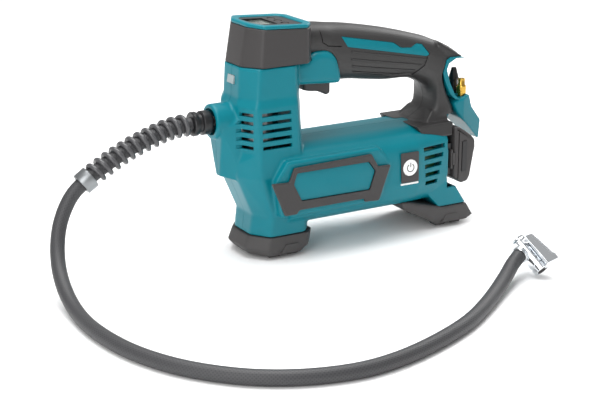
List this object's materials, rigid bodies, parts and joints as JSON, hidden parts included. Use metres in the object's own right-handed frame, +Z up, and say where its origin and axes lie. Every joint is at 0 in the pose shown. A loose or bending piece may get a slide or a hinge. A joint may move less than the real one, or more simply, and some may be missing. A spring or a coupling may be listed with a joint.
{
  "type": "cordless air inflator",
  "caption": "Hand-held battery air pump with upright pump tower, lying motor barrel, loop handle, rubber feet and an air hose ending in a lever chuck.",
  "frame": {"origin": "on the floor under the middle of the pump without its hose", "axes": "+Z up, hose outlet towards -X, power button on the -Y side"},
  "size_m": [0.3913, 0.2906, 0.1834],
  "materials": {
    "teal_plastic": "satin moulded, teal",
    "charcoal_plastic": "satin moulded, charcoal",
    "soft_grip": "fine-grained soft grip",
    "foot_rubber": "matte rubber",
    "black_plastic": "satin black",
    "white_plastic": "smooth white",
    "clear_lens": "clear",
    "steel": "plain steel",
    "cast_metal": "die cast",
    "chrome": "polished",
    "brass": "turned",
    "circuit_board": "solder mask",
    "hose_rubber": "braided rubber"
  },
  "bodies": {
    "pump": {"housing_right": "teal_plastic", "housing_left": "teal_plastic", "gauge_bezel": "teal_plastic", "badge_plate_right": "teal_plastic", "badge_plate_left": "teal_plastic", "rear_cap": "teal_plastic", "niche_liner": "teal_plastic", "gauge_collar": "charcoal_plastic", "badge_frame_right": "charcoal_plastic", "badge_frame_left": "charcoal_plastic", "power_plate": "charcoal_plastic", "grip_right": "soft_grip", "grip_left": "soft_grip", "front_foot": "foot_rubber", "rear_foot": "foot_rubber", "chuck_seal": "foot_rubber", "gauge_panel": "black_plastic", "trigger_switch": "black_plastic", "terminal_block": "black_plastic", "motor_end_bell": "black_plastic", "air_tube": "black_plastic", "hose_gland": "black_plastic", "spring_guard": "black_plastic", "gauge_window": "clear_lens", "work_light_lens": "clear_lens", "housing_screw_1": "steel", "housing_screw_2": "steel", "housing_screw_3": "steel", "housing_screw_4": "steel", "housing_screw_5": "steel", "trigger_spring": "steel", "motor_can": "steel", "lever_pin": "steel", "gear_bracket": "cast_metal", "pump_cylinder": "cast_metal", "cylinder_head": "cast_metal", "hose_cuff": "cast_metal", "hose_ferrule": "chrome", "chuck_body": "chrome", "check_valve": "brass", "gauge_board": "circuit_board", "control_board": "circuit_board", "air_hose": "hose_rubber"},
    "rotor": {"motor_rotor": "steel", "cooling_fan": "black_plastic", "drive_pinion": "brass"},
    "crank": {"crank_gear": "steel"},
    "piston": {"piston_rod": "cast_metal", "piston_seal": "foot_rubber"},
    "trigger": {"trigger": "charcoal_plastic"},
    "power_button": {"power_button": "white_plastic"},
    "minus_button": {"minus_button": "charcoal_plastic"},
    "unit_button": {"unit_button": "charcoal_plastic"},
    "plus_button": {"plus_button": "charcoal_plastic"},
    "battery": {"battery_pack": "charcoal_plastic"},
    "battery_latch": {"battery_latch": "black_plastic"},
    "chuck_lever": {"chuck_lever": "chrome"},
    "adapter_needle": {"adapter_needle": "steel"},
    "adapter_cone": {"adapter_cone": "black_plastic"},
    "adapter_valve": {"adapter_valve": "brass"}
  },
  "joints": [
    {"name": "rotor_spin", "type": "hinge", "parent": "pump", "child": "rotor", "pos_m": [0, 0, 0.0638], "axis": [1, 0, 0], "continuous": true},
    {"name": "crank_spin", "type": "hinge", "parent": "pump", "child": "crank", "pos_m": [0, 0, 0.043], "axis": [1, 0, 0], "continuous": true},
    {"name": "piston_slide", "type": "slide", "parent": "pump", "child": "piston", "axis": [0, 0, 1], "range_m": [-0.004, 0.004]},
    {"name": "trigger_pull", "type": "slide", "parent": "pump", "child": "trigger", "axis": [0, 0, 1], "range_m": [0, 0.006], "stiffness_N_per_m": 500, "springref_m": -0.002},
    {"name": "power_press", "type": "slide", "parent": "pump", "child": "power_button", "axis": [0, 1, 0], "range_m": [0, 0.001], "stiffness_N_per_m": 1500, "springref_m": -0.0005},
    {"name": "minus_press", "type": "slide", "parent": "pump", "child": "minus_button", "axis": [0, 0, -1], "range_m": [0, 0.0008], "stiffness_N_per_m": 1200, "springref_m": -0.0005},
    {"name": "unit_press", "type": "slide", "parent": "pump", "child": "unit_button", "axis": [0, 0, -1], "range_m": [0, 0.0008], "stiffness_N_per_m": 1200, "springref_m": -0.0005},
    {"name": "plus_press", "type": "slide", "parent": "pump", "child": "plus_button", "axis": [0, 0, -1], "range_m": [0, 0.0008], "stiffness_N_per_m": 1200, "springref_m": -0.0005},
    {"name": "battery_slide", "type": "slide", "parent": "pump", "child": "battery", "axis": [0, -1, 0], "range_m": [0, 0.085]},
    {"name": "latch_press", "type": "slide", "parent": "battery", "child": "battery_latch", "axis": [0, 1, 0], "range_m": [0, 0.0012], "stiffness_N_per_m": 1200, "springref_m": -0.0005},
    {"name": "lever_lift", "type": "hinge", "parent": "pump", "child": "chuck_lever", "pos_m": [0.06633, -0.14955, 0.02732], "axis": [-0.9511, -0.309, 0], "range_deg": [0, 60]},
    {"name": "needle_lift", "type": "slide", "parent": "pump", "child": "adapter_needle", "axis": [0, 0, 1], "range_m": [0, 0.006]},
    {"name": "cone_lift", "type": "slide", "parent": "pump", "child": "adapter_cone", "axis": [0, 0, 1], "range_m": [0, 0.006]},
    {"name": "valve_lift", "type": "slide", "parent": "pump", "child": "adapter_valve", "axis": [0, 0, 1], "range_m": [0, 0.006]}
  ],
  "couplings": [
    {"joint": "crank_spin", "follows": "rotor_spin", "ratio": -0.3}
  ]
}
